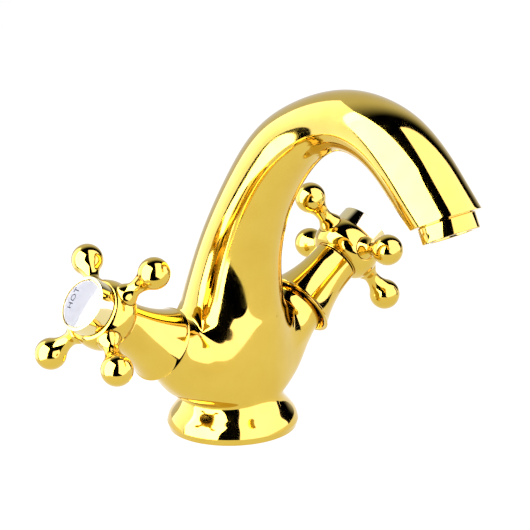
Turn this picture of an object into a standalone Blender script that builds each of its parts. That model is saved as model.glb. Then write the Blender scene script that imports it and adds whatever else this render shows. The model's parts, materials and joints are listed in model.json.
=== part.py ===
"""Two-handle basin mixer: cast body with a swan-neck spout, two ceramic-disc valves and cross handles.

Axes, in metres: +Z up, origin on the deck plane at the centre of the foot.
The spout points along -Y, the hot valve is on the -X side and the cold valve on the +X side.
Each valve and handle is drawn in its own axes: local Z is the valve axis and points outwards, and
local zero is the plane of the handle's four arms. An empty on that point turns it into place.
"""

from math import cos, pi, radians, sin, tan

import bmesh
import bpy
import numpy as np
from mathutils import Matrix, Vector

MM = 0.001
GAP = 0.3 * MM  # air between pieces that seat on each other, and round a shaft in its hole

# Foot and trunk of the casting
FOOT_RADIUS = 28.4 * MM
FOOT_HEEL_RADIUS = 27.6 * MM
FOOT_BAND = 2.7 * MM
FOOT_HEIGHT = 15.1 * MM
WAIST_RADIUS = 22.3 * MM
TRUNK_FLARE = 5.4 * MM
TRUNK_HALF_WIDTH = 27.5 * MM
TRUNK_HALF_DEPTH = 23.2 * MM
SADDLE_HALF_WIDTH = 22.5 * MM
SHOULDER_HEIGHT = 60.0 * MM
SHOULDER_RADIUS = 21.2 * MM
CASTING_WALL = 3.2 * MM

# Spout centreline: three arcs that bend more and more, then a straight nose
NECK_OFFSET = 2.4 * MM
NECK_LEAN = radians(9.5)
NECK_BEND = 135.0 * MM
NECK_TAPER = 1.8  # the neck thins quickly at the shoulders and slowly near the arch
ARCH_LEAN = radians(38.0)
ARCH_BEND = 74.5 * MM
CROWN_LEAN = radians(71.6)
CROWN_BEND = 49.0 * MM
NOSE_LEAN = radians(134.0)
NOSE_LENGTH = 23.0 * MM
ARCH_RADIUS = 14.7 * MM
CROWN_RADIUS = 12.3 * MM
NOSE_RADIUS = 14.6 * MM
MOUTH_RADIUS = 14.5 * MM
MOUTH_LEAN = radians(154.0)

# Valves: both axes start on the mixer's axis below the shoulders, and the casting's arms run along them
VALVE_RISE = radians(33.7)
VALVE_START_DROP = 40.3 * MM
HANDLE_REACH = 82.7 * MM
ARM_END_DEPTH = 36.0 * MM
ARM_END_RADIUS = 12.7 * MM
ARM_COLLAR = 4.5 * MM
ARM_ROOT_RADIUS = 14.0 * MM
ARM_LENGTH = 9.2 * MM
VALVE_START = SHOULDER_HEIGHT - VALVE_START_DROP
HANDLE_OUT = HANDLE_REACH * cos(VALVE_RISE)
HANDLE_HEIGHT = VALVE_START + HANDLE_REACH * sin(VALVE_RISE)

# Ways through the casting
SOCKET_DEPTH = 20.0 * MM
PORT_RADIUS = 4.0 * MM
PORT_RISE = 6.5 * MM
INLET_RADIUS = 4.5 * MM
INLET_OFFSET = 9.0 * MM
STUD_HOLE_RADIUS = 3.4 * MM
STUD_HOLE_BACK = 14.5 * MM
STUD_HOLE_DEPTH = 16.0 * MM
CHAMBER_RADIUS = 8.0 * MM
CROSSWAY_SHARE = 0.6  # how far up the sockets' radius the way between them breaks in

# Gasket in the underside
GASKET_INNER_RADIUS = 21.5 * MM
GASKET_OUTER_RADIUS = 25.0 * MM
GASKET_THICKNESS = 1.6 * MM

# Aerator
AERATOR_DROP = 6.9 * MM
AERATOR_THREAD_RADIUS = 10.7 * MM
AERATOR_THREAD_LENGTH = 7.0 * MM
AERATOR_SHOULDER = 1.0 * MM
AERATOR_WALL = 1.4 * MM
AERATOR_LIP = 1.3 * MM
AERATOR_LIP_WIDTH = 1.0 * MM
AERATOR_WASHER = 1.4 * MM
AERATOR_RADIUS = AERATOR_THREAD_RADIUS + AERATOR_SHOULDER
AERATOR_BORE_RADIUS = AERATOR_THREAD_RADIUS - AERATOR_WALL
AERATOR_LIP_RADIUS = AERATOR_BORE_RADIUS - AERATOR_LIP_WIDTH
AERATOR_SEAT_STEP = 2.0 * MM
STRAINER_RIM = 1.2 * MM
JET_RADIUS = 0.9 * MM
JET_RINGS = ((6, 3.2 * MM), (12, 6.2 * MM))

# Valve cover, a trumpet whose mouth stands over the end of the casting's arm
COVER_TIP_DEPTH = 9.5 * MM
COVER_TIP_RADIUS = 10.3 * MM
COVER_RIM_RADIUS = 16.3 * MM
COVER_RIM = 1.0 * MM
COVER_OVERLAP = 0.6 * MM
COVER_WALL = 1.6 * MM
COVER_THREAD_LENGTH = 9.0 * MM
COVER_FLARE = 2.2  # power of the curve that the outer side flares by
COVER_RIM_DEPTH = ARM_END_DEPTH + COVER_OVERLAP

# Headwork, the screwed-in valve insert, sized round its ceramic discs
DISC_RADIUS = 7.8 * MM
DISC_THICKNESS = 2.8 * MM
DISC_PORT_RADIUS = 2.1 * MM
DISC_PORT_OFFSET = 4.4 * MM
DISC_PLAY = 0.4 * MM
HEADWORK_WALL = 1.6 * MM
HEADWORK_BORE_RADIUS = DISC_RADIUS + DISC_PLAY
HEADWORK_BARREL_RADIUS = HEADWORK_BORE_RADIUS + HEADWORK_WALL
SOCKET_RADIUS = HEADWORK_BARREL_RADIUS + GAP
HEADWORK_SETBACK = 0.8 * MM
HEADWORK_FLANGE_RADIUS = ARM_END_RADIUS - HEADWORK_SETBACK
HEADWORK_FLANGE = 1.6 * MM
HEADWORK_HEX = 17.0 * MM
HEADWORK_HEX_HEIGHT = 5.0 * MM
HEADWORK_NECK_RADIUS = 7.4 * MM
HEADWORK_NECK_END = 13.2 * MM
WINDOW_WIDTH = 8.0 * MM
WINDOW_HEIGHT = 5.5 * MM
WASHER_THICKNESS = 1.2 * MM
SEAT_SEAL_THICKNESS = 2.0 * MM
SEAT_SEAL_HOLE = 4.5 * MM

# Spindle
SPINDLE_RADIUS = 4.4 * MM
SPINDLE_TOP_RADIUS = 3.6 * MM
SPINDLE_TOP_DEPTH = 0.9 * MM
SPINDLE_DOG_RADIUS = HEADWORK_BORE_RADIUS - 2 * GAP
SPINDLE_DOG = 3.0 * MM
SPINDLE_GROOVE = 1.2 * MM
SPINDLE_RING_DEPTH = 24.0 * MM
SPINDLE_RING_HEIGHT = 2.0 * MM
CLIP_THICKNESS = 0.9 * MM
CLIP_DEPTH = HEADWORK_NECK_END - 2 * GAP
CLIP_GRIP = 1.8 * MM
CLIP_RADIUS = SPINDLE_RADIUS + CLIP_GRIP
SPLINES = 12
SPLINE_HEIGHT = 0.5 * MM

# Handle
HUB_RADIUS = 14.9 * MM
HUB_PLANE = 1.8 * MM
HUB_PLAY = 0.8 * MM
HUB_BACK_DEPTH = COVER_TIP_DEPTH - HUB_PLAY
HUB_BACK_RADIUS = 9.9 * MM
SPLINE_BORE_DEPTH = 8.0 * MM
SCREW_HEAD_RADIUS = 4.2 * MM
SCREW_HEAD = 3.0 * MM
SCREW_SHANK_RADIUS = 1.9 * MM
SCREW_LENGTH = 11.0 * MM
SCREW_SEAT = 1.6 * MM
SCREW_HEXAGON_RADIUS = 2.0 * MM
ARM_COUNT = 4
ARM_REACH = 30.0 * MM
BALL_RADIUS = 6.6 * MM
ARM_SEAT_INSET = 1.3 * MM
ARM_SEAT = HUB_RADIUS - ARM_SEAT_INSET
ARM_COLLAR_RADIUS = 5.2 * MM
ARM_NECK_RADIUS = 3.1 * MM
ARM_NECK_SHARE = 0.6  # where between the seat and the ball the neck is thinnest
BALL_START = radians(38)
ARM_STUD_RADIUS = 2.2 * MM
ARM_STUD_LENGTH = 4.2 * MM
HOT_TURN = radians(50.1)
COLD_TURN = radians(79.1)

# Index cap
RING_RADIUS = 11.9 * MM
RING_WALL = 1.6 * MM
RING_BEZEL = 1.4 * MM
RING_BACK = 5.5 * MM
RING_EDGE = 0.5 * MM
RING_SHELF = 1.0 * MM
RING_SHELF_WIDTH = 3.0 * MM
INDEX_THICKNESS = 1.9 * MM
INDEX_CROWN = 0.7 * MM
NOSE_PLUG_RADIUS = RING_RADIUS - RING_WALL - GAP
NOSE_PLUG_END = 9.4 * MM
RING_BORE = RING_RADIUS - RING_BEZEL
RING_FRONT = NOSE_PLUG_END + RING_SHELF + INDEX_THICKNESS + GAP

COLUMNS = 12  # control points round the trunk, the spout and the casting's arms
TRUNK_ROW = 5  # the casting's rows: two of the foot's band, two of its slope, the waist, then the trunk
ARM_ROWS = 3  # rows of faces that each arm of the casting grows from
SHOULDER_ROW = 9
ROUND = (2 + cos(2 * pi / COLUMNS)) / 3  # a smooth ring's radius as a share of its control points' radius
DRILL_OVERRUN = 2 * MM  # how far a cutter runs past the face that it breaks through


def clear_scene():
    for old in list(bpy.data.objects):
        bpy.data.objects.remove(old, do_unlink=True)


def finish(name, rgb, metallic, roughness):
    """A material of its own for one piece."""
    made = bpy.data.materials.new(name + "_finish")
    made.use_nodes = True
    shader = made.node_tree.nodes["Principled BSDF"]
    shader.inputs["Base Color"].default_value = (*rgb, 1.0)
    shader.inputs["Metallic"].default_value = metallic
    shader.inputs["Roughness"].default_value = roughness
    made.diffuse_color = (*rgb, 1.0)
    return made


def gold(name):
    return finish(name, (0.86, 0.63, 0.16), 1.0, 0.08)


def brass(name):
    return finish(name, (0.72, 0.52, 0.24), 1.0, 0.35)


def steel(name):
    return finish(name, (0.62, 0.62, 0.62), 1.0, 0.25)


def rubber(name):
    return finish(name, (0.03, 0.03, 0.03), 0.0, 0.7)


def alumina(name):
    return finish(name, (0.85, 0.83, 0.78), 0.0, 0.3)


def porcelain(name):
    return finish(name, (0.93, 0.93, 0.95), 0.0, 0.08)


def acetal(name):
    return finish(name, (0.8, 0.8, 0.78), 0.0, 0.4)


def put(name, bm, paint, parent=None):
    """Make the mesh an object, shaded smooth apart from its sharp corners."""
    mesh = bpy.data.meshes.new(name)
    bmesh.ops.remove_doubles(bm, verts=bm.verts, dist=1e-6)
    bmesh.ops.recalc_face_normals(bm, faces=bm.faces)
    bm.to_mesh(mesh)
    bm.free()
    mesh.shade_smooth()
    mesh.set_sharp_from_angle(angle=radians(35))
    made = bpy.data.objects.new(name, mesh)
    bpy.context.collection.objects.link(made)
    if paint:
        mesh.materials.append(paint(name))
    made.parent = parent
    return made


def cut(piece, bm, name):
    """Take a closed shape away from a piece."""
    cutter = put(piece.name + "_" + name, bm, None, piece.parent)
    cutter.hide_render = True
    cutter.display_type = "WIRE"
    boolean = piece.modifiers.new(name, "BOOLEAN")
    boolean.operation = "DIFFERENCE"
    boolean.solver = "MANIFOLD"
    boolean.object = cutter


def spin(outline, sides):
    """Turn an outline of (radius, height) about Z. One that leaves the axis is a solid bar, else a ring."""
    bm = bmesh.new()
    corners = [bm.verts.new((radius, 0, height)) for radius, height in outline]
    edges = [bm.edges.new(pair) for pair in zip(corners, corners[1:])]
    if outline[0][0] > 0:
        edges.append(bm.edges.new((corners[-1], corners[0])))
    bmesh.ops.spin(bm, geom=corners + edges, axis=(0, 0, 1), cent=(0, 0, 0),
                   angle=2 * pi, steps=sides, use_merge=True)
    bmesh.ops.remove_doubles(bm, verts=bm.verts, dist=1e-6)
    return bm


def turned(name, outline, sides, paint, parent=None):
    return put(name, spin(outline, sides), paint, parent)


def rod(radius, low, high, sides=16, place=Matrix()):
    """A closed round bar from low to high on its own Z, then set in place."""
    bm = bmesh.new()
    middle = Matrix.Translation((0, 0, (low + high) / 2))
    bmesh.ops.create_cone(bm, cap_ends=True, segments=sides, radius1=radius, radius2=radius,
                          depth=high - low, matrix=place @ middle)
    return bm


def merged(parts):
    """One mesh that holds several closed shapes."""
    whole = bmesh.new()
    for part in parts:
        mesh = bpy.data.meshes.new("part")
        part.to_mesh(mesh)
        part.free()
        whole.from_mesh(mesh)
        bpy.data.meshes.remove(mesh)
    return whole


def aim(point, direction):
    """A place whose own Z runs along the direction from the point."""
    return Matrix.Translation(point) @ Vector(direction).to_track_quat("Z", "Y").to_matrix().to_4x4()


# Casting


def section(y, z, lean, half_width, half_depth):
    """Points round the casting in the plane square to its centreline, which leans forwards by lean."""
    points = []
    for k in range(COLUMNS):
        angle = 2 * pi * (k + 0.5) / COLUMNS
        across = half_width * cos(angle) / ROUND
        along = half_depth * sin(angle) / ROUND
        points.append((across, y + along * cos(lean), z + along * sin(lean)))
    return points


def ease(share):
    """Goes from 0 to 1 and is level at both ends."""
    return (1 - cos(pi * share)) / 2


def spout_stations():
    """Centre, lean and radius along the spout, from the shoulders over the arch to the mouth."""
    y = -NECK_OFFSET
    z = SHOULDER_HEIGHT
    lean = NECK_LEAN
    radius = SHOULDER_RADIUS
    stations = [(y, z, lean, radius)]
    arcs = [(NECK_BEND, ARCH_LEAN, ARCH_RADIUS, 4, lambda share: 1 - (1 - share) ** NECK_TAPER),
            (ARCH_BEND, CROWN_LEAN, CROWN_RADIUS, 3, ease), (CROWN_BEND, NOSE_LEAN, NOSE_RADIUS, 4, ease)]
    for bend, end_lean, end_radius, steps, change in arcs:
        turn = (end_lean - lean) / steps
        first_radius = radius
        for i in range(steps):
            y += bend * (cos(lean + turn) - cos(lean))
            z += bend * (sin(lean + turn) - sin(lean))
            lean += turn
            radius = first_radius + (end_radius - first_radius) * change((i + 1) / steps)
            stations.append((y, z, lean, radius))
    return stations


def mouth_centre():
    y, z, lean, radius = spout_stations()[-1]
    return Vector((0, y - NOSE_LENGTH * sin(lean), z + NOSE_LENGTH * cos(lean)))


def casting_rows(inset=0.0):
    """Sections that the casting's surface passes through, from the underside to the mouth."""
    foot_top = FOOT_HEIGHT
    trunk = SHOULDER_HEIGHT - foot_top
    rows = [
        (0, 0, 0, FOOT_HEEL_RADIUS, FOOT_HEEL_RADIUS),
        (0, FOOT_BAND, 0, FOOT_RADIUS, FOOT_RADIUS),
    ]
    for share in (0.3, 0.62):
        height = FOOT_BAND + (foot_top - FOOT_BAND) * share
        radius = WAIST_RADIUS + (FOOT_RADIUS - WAIST_RADIUS) * (1 + cos(pi * share)) / 2
        rows.append((0, height, 0, radius, radius))
    rows.append((0, foot_top, 0, WAIST_RADIUS, WAIST_RADIUS))
    trunk_sections = [
        (0.11, WAIST_RADIUS + TRUNK_FLARE, WAIST_RADIUS),
        (0.38, TRUNK_HALF_WIDTH, TRUNK_HALF_DEPTH),
        (0.63, (TRUNK_HALF_WIDTH + SADDLE_HALF_WIDTH) / 2, TRUNK_HALF_DEPTH),
        (0.86, SADDLE_HALF_WIDTH, (TRUNK_HALF_DEPTH + SHOULDER_RADIUS) / 2)]
    for share, wide, deep in trunk_sections:
        rows.append((-NECK_OFFSET * share * share, foot_top + trunk * share, NECK_LEAN * share, wide, deep))
    rows += [(y, z, lean, radius, radius) for y, z, lean, radius in spout_stations()]
    mouth = mouth_centre()
    half = Vector((mouth.y, mouth.z)).lerp(Vector(rows[-1][:2]), 0.5)
    rows.append((half.x, half.y, (NOSE_LEAN + MOUTH_LEAN) / 2, NOSE_RADIUS, NOSE_RADIUS))
    rows.append((mouth.y, mouth.z, MOUTH_LEAN, MOUTH_RADIUS, MOUTH_RADIUS))
    return [(y, z, lean, wide - inset, deep - inset) for y, z, lean, wide, deep in rows]


def control_points(rows, creased):
    """Control points of a smooth surface that passes through the rows, with a corner at each creased one."""
    places = np.array([section(*row) for row in rows])
    weights = np.eye(len(rows))
    for i in range(1, len(rows) - 1):
        if i not in creased:
            weights[i, i - 1:i + 2] = (1 / 6, 4 / 6, 1 / 6)
    return np.linalg.solve(weights, places.reshape(len(rows), -1)).reshape(places.shape)


def bridge(bm, low, high):
    faces = []
    for k in range(len(low)):
        after = (k + 1) % len(low)
        faces.append(bm.faces.new((low[k], low[after], high[after], high[k])))
    return faces


def arm_ring(side, out, radius):
    """Control points of one section of the casting's arm, that far out along the valve's axis."""
    axis = Vector((side * cos(VALVE_RISE), 0, sin(VALVE_RISE)))
    upright = Vector((-side * sin(VALVE_RISE), 0, cos(VALVE_RISE)))
    start = Vector((0, 0, VALVE_START))
    points = []
    for k in range(COLUMNS):
        angle = 2 * pi * (k + 0.5) / COLUMNS
        offset = upright * cos(angle) + Vector((0, 1, 0)) * sin(angle) * side
        points.append(start + axis * out + offset * radius / ROUND)
    return points


def arm_border(rings, side):
    """The twelve points round the patch of the trunk that the arm grows from, in the arm ring's order."""
    middle = 0 if side > 0 else COLUMNS // 2
    left, near, far, right = [(middle + step) % COLUMNS for step in (1, 0, -1, -2)]
    low, second, third, top = rings[TRUNK_ROW:TRUNK_ROW + ARM_ROWS + 1]
    return [top[near], top[left], third[left], second[left], low[left], low[near],
            low[far], low[right], second[right], third[right], top[right], top[far]]


def casting_shell():
    """The casting's outer skin: a column of rings that bends into the spout, with an arm on each side."""
    rows = casting_rows()
    creased = (0, 1, len(rows) - 1)
    bm = bmesh.new()
    crease = bm.edges.layers.float.new("crease_edge")
    rings = [[bm.verts.new(point) for point in ring] for ring in control_points(rows, creased)]
    patch_faces = []
    for i in range(len(rings) - 1):
        faces = bridge(bm, rings[i], rings[i + 1])
        if TRUNK_ROW <= i < TRUNK_ROW + ARM_ROWS:
            half = COLUMNS // 2
            patch_faces += [faces[k % COLUMNS] for k in (-2, -1, 0, half - 2, half - 1, half)]
    bmesh.ops.delete(bm, geom=patch_faces, context="FACES")
    bm.faces.new(rings[0])
    bm.faces.new(rings[-1])
    loops = [rings[i] for i in creased]
    end = HANDLE_REACH - ARM_END_DEPTH
    for side in (-1, 1):
        ring = arm_border(rings, side)
        for out, radius in ((end - ARM_LENGTH, ARM_ROOT_RADIUS), (end - ARM_COLLAR, ARM_END_RADIUS),
                            (end, ARM_END_RADIUS)):
            after = [bm.verts.new(point) for point in arm_ring(side, out, radius)]
            bridge(bm, ring, after)
            ring = after
        bm.faces.new(ring)
        loops.append(ring)
    for loop in loops:
        for pair in zip(loop, loop[1:] + loop[:1]):
            bm.edges.get(pair)[crease] = 1.0
    return bm


def hollow():
    """The waterway inside the neck and the spout, one wall's thickness in from the skin."""
    rows = casting_rows(CASTING_WALL)
    kept = rows[SHOULDER_ROW:-1]
    thread_start = AERATOR_THREAD_LENGTH + AERATOR_WASHER + 2 * GAP - DRILL_OVERRUN
    centre = mouth_centre() - mouth_axis() * thread_start
    seat = AERATOR_THREAD_RADIUS - AERATOR_SEAT_STEP
    kept[-1] = (centre.y, centre.z, MOUTH_LEAN, seat, seat)
    bm = bmesh.new()
    rings = [[bm.verts.new(point) for point in section(*row)] for row in kept]
    for low, high in zip(rings, rings[1:]):
        bridge(bm, low, high)
    bm.faces.new(rings[0])
    bm.faces.new(rings[-1])
    return bm


def mouth_axis():
    """The way the water leaves."""
    return Vector((0, -sin(MOUTH_LEAN), cos(MOUTH_LEAN)))


def valve_place(side):
    """Turns a valve's own axes into the mixer's: local X forwards, local Z outwards."""
    axis = Vector((side * cos(VALVE_RISE), 0, sin(VALVE_RISE)))
    front = Vector((0, -1, 0))
    turn = Matrix((front, axis.cross(front), axis)).transposed().to_4x4()
    return Matrix.Translation((side * HANDLE_OUT, 0, HANDLE_HEIGHT)) @ turn


def casting():
    body = put("mixer_body", casting_shell(), gold)
    body.data.set_sharp_from_angle(angle=radians(180))
    smooth = body.modifiers.new("smooth", "SUBSURF")
    smooth.levels = 1
    smooth.render_levels = 1
    cut(body, hollow(), "waterway")
    floor = ARM_END_DEPTH + SOCKET_DEPTH
    for side, word in ((-1, "hot"), (1, "cold")):
        place = valve_place(side)
        cut(body, rod(SOCKET_RADIUS, -floor, -ARM_END_DEPTH + DRILL_OVERRUN, 24, place), word + "_socket")
        elbow = HANDLE_REACH - INLET_OFFSET / cos(VALVE_RISE)
        elbow_height = VALVE_START + INLET_OFFSET * tan(VALVE_RISE)
        cut(body, rod(PORT_RADIUS, -elbow, -floor + DRILL_OVERRUN, 16, place), word + "_port")
        inlet = Matrix.Translation((side * INLET_OFFSET, 0, 0))
        cut(body, rod(INLET_RADIUS, -DRILL_OVERRUN, elbow_height, 16, inlet), word + "_inlet")
    window_depth = floor - PORT_RISE
    window_out = HANDLE_OUT - window_depth * cos(VALVE_RISE)
    socket_height = HANDLE_HEIGHT - window_depth * sin(VALVE_RISE)
    window_height = socket_height + SOCKET_RADIUS * cos(VALVE_RISE) * CROSSWAY_SHARE
    cross = aim((0, 0, window_height), (1, 0, 0))
    cut(body, rod(PORT_RADIUS, -window_out, window_out, 16, cross), "crossway")
    chamber_top = SHOULDER_HEIGHT + DRILL_OVERRUN
    cut(body, rod(CHAMBER_RADIUS, window_height - PORT_RADIUS - DRILL_OVERRUN, chamber_top, 16), "chamber")
    stud = Matrix.Translation((0, STUD_HOLE_BACK, 0))
    cut(body, rod(STUD_HOLE_RADIUS, -DRILL_OVERRUN, STUD_HOLE_DEPTH, 12, stud), "stud_hole")
    outer = GASKET_OUTER_RADIUS + GAP
    inner = GASKET_INNER_RADIUS - GAP
    groove = [(outer, -DRILL_OVERRUN), (outer, GASKET_THICKNESS + GAP), (inner, GASKET_THICKNESS + GAP),
              (inner, -DRILL_OVERRUN)]
    cut(body, spin(groove, 32), "gasket_groove")
    thread = AERATOR_THREAD_LENGTH + AERATOR_WASHER + 2 * GAP
    mouth = aim(mouth_centre(), mouth_axis())
    cut(body, rod(AERATOR_THREAD_RADIUS + GAP, -thread, DRILL_OVERRUN, 24, mouth), "aerator_socket")


def gasket():
    outline = [(GASKET_OUTER_RADIUS, 0), (GASKET_OUTER_RADIUS, GASKET_THICKNESS),
               (GASKET_INNER_RADIUS, GASKET_THICKNESS), (GASKET_INNER_RADIUS, 0)]
    turned("base_gasket", outline, 32, rubber)


def aerator():
    """Housing, strainer insert and washer, drawn from the mouth's face with Z the way the water leaves."""
    guide = bpy.data.objects.new("aerator_axis", None)
    bpy.context.collection.objects.link(guide)
    guide.matrix_world = aim(mouth_centre(), mouth_axis())
    top = -AERATOR_THREAD_LENGTH
    end = AERATOR_DROP
    chamfer = 0.5 * MM
    housing = [
        (AERATOR_THREAD_RADIUS, top), (AERATOR_THREAD_RADIUS, GAP), (AERATOR_RADIUS, GAP),
        (AERATOR_RADIUS, end - chamfer), (AERATOR_RADIUS - chamfer, end),
        (AERATOR_LIP_RADIUS + chamfer, end), (AERATOR_LIP_RADIUS, end - chamfer),
        (AERATOR_LIP_RADIUS, end - AERATOR_LIP), (AERATOR_BORE_RADIUS, end - AERATOR_LIP),
        (AERATOR_BORE_RADIUS, top)]
    turned("aerator_housing", housing, 32, gold, guide)
    outer = AERATOR_BORE_RADIUS - GAP
    bottom = end - AERATOR_LIP - GAP
    rim = STRAINER_RIM
    insert = [(0, top), (outer, top), (outer, bottom), (outer - rim, bottom), (outer - rim, bottom - rim),
              (0, bottom - rim)]
    strainer = turned("aerator_insert", insert, 24, acetal, guide)
    holes = []
    for count, ring in JET_RINGS:
        for i in range(count):
            angle = 2 * pi * i / count
            spot = Matrix.Translation((ring * cos(angle), ring * sin(angle), 0))
            holes.append(rod(JET_RADIUS, top - DRILL_OVERRUN, bottom + DRILL_OVERRUN, 6, spot))
    cut(strainer, merged(holes), "jets")
    low = top - GAP
    washer = [(AERATOR_THREAD_RADIUS, low - AERATOR_WASHER), (AERATOR_THREAD_RADIUS, low),
              (AERATOR_LIP_RADIUS, low), (AERATOR_LIP_RADIUS, low - AERATOR_WASHER)]
    turned("aerator_washer", washer, 24, rubber, guide)


# Valves, from the seat outwards


def headwork_levels():
    """Depths on the valve axis of the seat seal, the two discs and the spindle's dog, a gap apart."""
    seal = -(ARM_END_DEPTH + SOCKET_DEPTH) + GAP
    fixed = seal + SEAT_SEAL_THICKNESS + GAP
    moving = fixed + DISC_THICKNESS + GAP
    dog = moving + DISC_THICKNESS + GAP
    return seal, fixed, moving, dog


def headwork_steps():
    """Depths of the washer's top, the flange's seat, the flange's top and the hexagon's top."""
    washer_top = -ARM_END_DEPTH + GAP + WASHER_THICKNESS
    seat = washer_top + GAP
    collar = seat + HEADWORK_FLANGE
    return washer_top, seat, collar, collar + HEADWORK_HEX_HEIGHT


def headwork(word, place):
    seal, fixed, moving, dog = headwork_levels()
    washer_top, seat, collar, shoulder = headwork_steps()
    roof = dog + SPINDLE_DOG + GAP
    stem = SPINDLE_RADIUS + GAP
    outline = [
        (HEADWORK_BARREL_RADIUS, fixed), (HEADWORK_BARREL_RADIUS, seat), (HEADWORK_FLANGE_RADIUS, seat),
        (HEADWORK_FLANGE_RADIUS, shoulder), (HEADWORK_NECK_RADIUS, shoulder),
        (HEADWORK_NECK_RADIUS, -HEADWORK_NECK_END), (stem, -HEADWORK_NECK_END), (stem, roof),
        (HEADWORK_BORE_RADIUS, roof), (HEADWORK_BORE_RADIUS, fixed)]
    body = turned(word + "_headwork", outline, 24, brass, place)
    windows = []
    for side in (-1, 1):
        slot = bmesh.new()
        middle = Matrix.Translation((0, side * HEADWORK_BARREL_RADIUS, moving + WINDOW_HEIGHT / 2))
        size = Matrix.Diagonal((WINDOW_WIDTH, 3 * HEADWORK_WALL, WINDOW_HEIGHT, 1))
        bmesh.ops.create_cube(slot, size=1, matrix=middle @ size)
        windows.append(slot)
    cut(body, merged(windows), "windows")
    flats = []
    for i in range(6):
        flat = bmesh.new()
        turn = Matrix.Rotation(2 * pi * i / 6, 4, "Z")
        middle = Matrix.Translation((HEADWORK_HEX / 2 + HEADWORK_HEX / 4, 0, (collar + shoulder) / 2 + GAP))
        size = Matrix.Diagonal((HEADWORK_HEX / 2, HEADWORK_HEX, shoulder - collar + 2 * GAP, 1))
        bmesh.ops.create_cube(flat, size=1, matrix=turn @ middle @ size)
        cut(body, flat, "flat_" + str(i + 1))
    washer = [(HEADWORK_FLANGE_RADIUS, washer_top - WASHER_THICKNESS), (HEADWORK_FLANGE_RADIUS, washer_top),
              (SOCKET_RADIUS, washer_top), (SOCKET_RADIUS, washer_top - WASHER_THICKNESS)]
    turned(word + "_headwork_washer", washer, 24, rubber, place)
    seal_top = seal + SEAT_SEAL_THICKNESS
    ring = [(HEADWORK_BARREL_RADIUS, seal), (HEADWORK_BARREL_RADIUS, seal_top), (SEAT_SEAL_HOLE, seal_top),
            (SEAT_SEAL_HOLE, seal)]
    turned(word + "_seat_seal", ring, 24, rubber, place)


def disc(name, low, place, turn):
    """A ceramic disc with two ports opposite each other."""
    plate = turned(name, [(0, low + DISC_THICKNESS), (DISC_RADIUS, low + DISC_THICKNESS), (DISC_RADIUS, low),
                          (0, low)], 24, alumina, place)
    ports = []
    top = low + DISC_THICKNESS
    for half in (0, pi):
        spot = Matrix.Rotation(turn + half, 4, "Z") @ Matrix.Translation((DISC_PORT_OFFSET, 0, 0))
        ports.append(rod(DISC_PORT_RADIUS, low - DRILL_OVERRUN, top + DRILL_OVERRUN, 12, spot))
    cut(plate, merged(ports), "ports")


def spindle(word, place):
    """The stem that the handle turns: a dog on the moving disc, an O-ring groove, a clip groove, splines."""
    dog = headwork_levels()[-1]
    groove = SPINDLE_RADIUS - SPINDLE_GROOVE
    ring_low = -SPINDLE_RING_DEPTH
    ring_high = ring_low + SPINDLE_RING_HEIGHT
    clip_low = -CLIP_DEPTH - GAP
    clip_high = clip_low + CLIP_THICKNESS + 2 * GAP
    top = -SPINDLE_TOP_DEPTH
    thread = SCREW_SHANK_RADIUS + GAP
    bottom = SCREW_SEAT - SCREW_LENGTH - GAP
    outline = [
        (0, dog), (SPINDLE_DOG_RADIUS, dog), (SPINDLE_DOG_RADIUS, dog + SPINDLE_DOG),
        (SPINDLE_RADIUS, dog + SPINDLE_DOG), (SPINDLE_RADIUS, ring_low), (groove, ring_low),
        (groove, ring_high), (SPINDLE_RADIUS, ring_high), (SPINDLE_RADIUS, clip_low), (groove, clip_low),
        (groove, clip_high), (SPINDLE_TOP_RADIUS, clip_high), (SPINDLE_TOP_RADIUS, top), (thread, top),
        (thread, bottom), (0, bottom)]
    stem = turned(word + "_spindle", outline, SPLINES * 2, brass, place)
    teeth = []
    for i in range(SPLINES):
        turn = Matrix.Rotation(2 * pi * i / SPLINES, 4, "Z")
        spot = turn @ Matrix.Translation((SPINDLE_TOP_RADIUS, 0, 0))
        teeth.append(rod(SPLINE_HEIGHT, -SPLINE_BORE_DEPTH, DRILL_OVERRUN, 4, spot))
    cut(stem, merged(teeth), "splines")
    hold = GAP / 2
    ring = [(SPINDLE_RADIUS + GAP - hold, ring_low + GAP), (SPINDLE_RADIUS + GAP - hold, ring_high - GAP),
            (groove + hold, ring_high - GAP), (groove + hold, ring_low + GAP)]
    turned(word + "_spindle_oring", ring, 24, rubber, place)
    clip = [(CLIP_RADIUS, clip_low + GAP), (CLIP_RADIUS, clip_high - GAP), (groove + GAP, clip_high - GAP),
            (groove + GAP, clip_low + GAP)]
    spring_clip = turned(word + "_retaining_clip", clip, 24, steel, place)
    mouth = bmesh.new()
    bmesh.ops.create_cube(mouth, size=1, matrix=Matrix.Translation((CLIP_RADIUS, 0, -CLIP_DEPTH))
                          @ Matrix.Diagonal((CLIP_RADIUS * 2, SPINDLE_RADIUS, 4 * CLIP_THICKNESS, 1)))
    cut(spring_clip, mouth, "mouth")


def cover_outline():
    """Outer side of the trumpet: a slow taper that flares to the rim, as a power curve."""
    length = COVER_RIM_DEPTH - COVER_TIP_DEPTH
    flare = COVER_RIM_RADIUS - COVER_TIP_RADIUS
    steps = 8
    outer = []
    for i in range(steps + 1):
        share = i / steps * (1 - COVER_RIM / length)
        outer.append((COVER_TIP_RADIUS + flare * share ** COVER_FLARE, -COVER_TIP_DEPTH - length * share))
    outer.append((COVER_RIM_RADIUS, -COVER_RIM_DEPTH + COVER_RIM / 2))
    outer.append((COVER_RIM_RADIUS - COVER_RIM / 2, -COVER_RIM_DEPTH))
    return outer


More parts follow.
